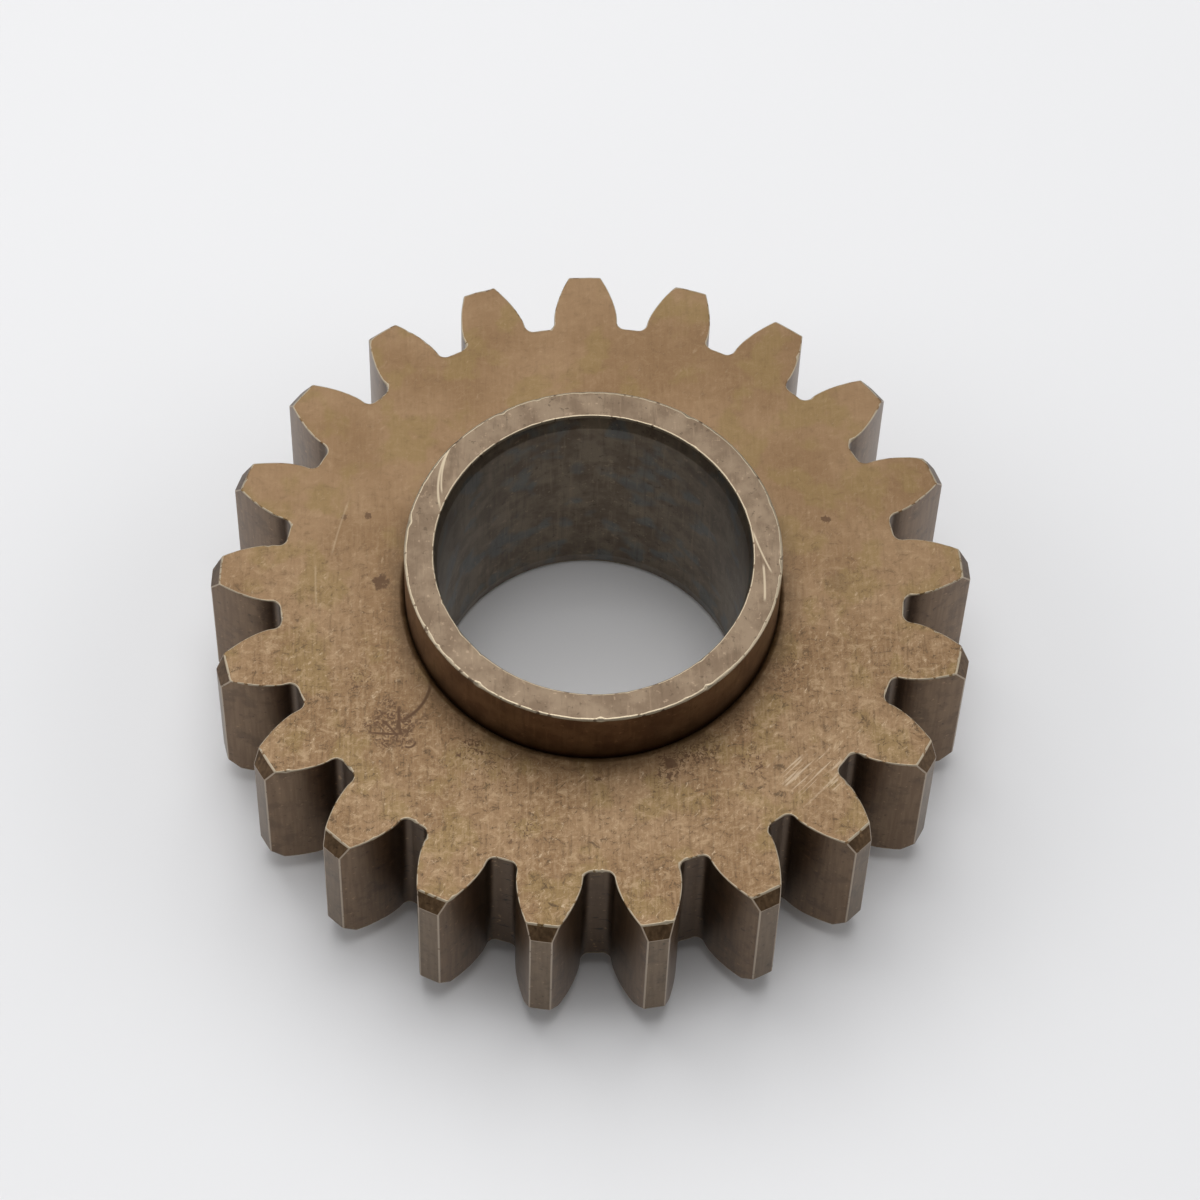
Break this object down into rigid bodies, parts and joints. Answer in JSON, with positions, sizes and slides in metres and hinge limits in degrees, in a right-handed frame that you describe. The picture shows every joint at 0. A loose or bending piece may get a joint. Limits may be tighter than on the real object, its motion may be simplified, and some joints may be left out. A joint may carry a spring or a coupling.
{
  "type": "spur gear with pressed sleeve",
  "caption": "Small straight-toothed steel gear wheel with a plain bore sleeve pressed through it, the sleeve standing proud of both faces as spacers.",
  "frame": {"origin": "centre of the sleeve's lower end face, on the gear's axis, in the plane that the part stands on", "axes": "+Z along the bore towards the end where the sleeve stands further out of the rim; +Y through the middle of one tooth; +X completes the right-handed set"},
  "size_m": [0.047, 0.0468, 0.018],
  "materials": {
    "gear_steel": "ground steel under a golden-brown oil stain, worn bright along the tooth edges",
    "sleeve_steel": "ground bare steel, dull, darker inside the bore"
  },
  "bodies": {
    "root": {"gear_wheel": "gear_steel", "bore_sleeve": "sleeve_steel"}
  },
  "joints": []
}
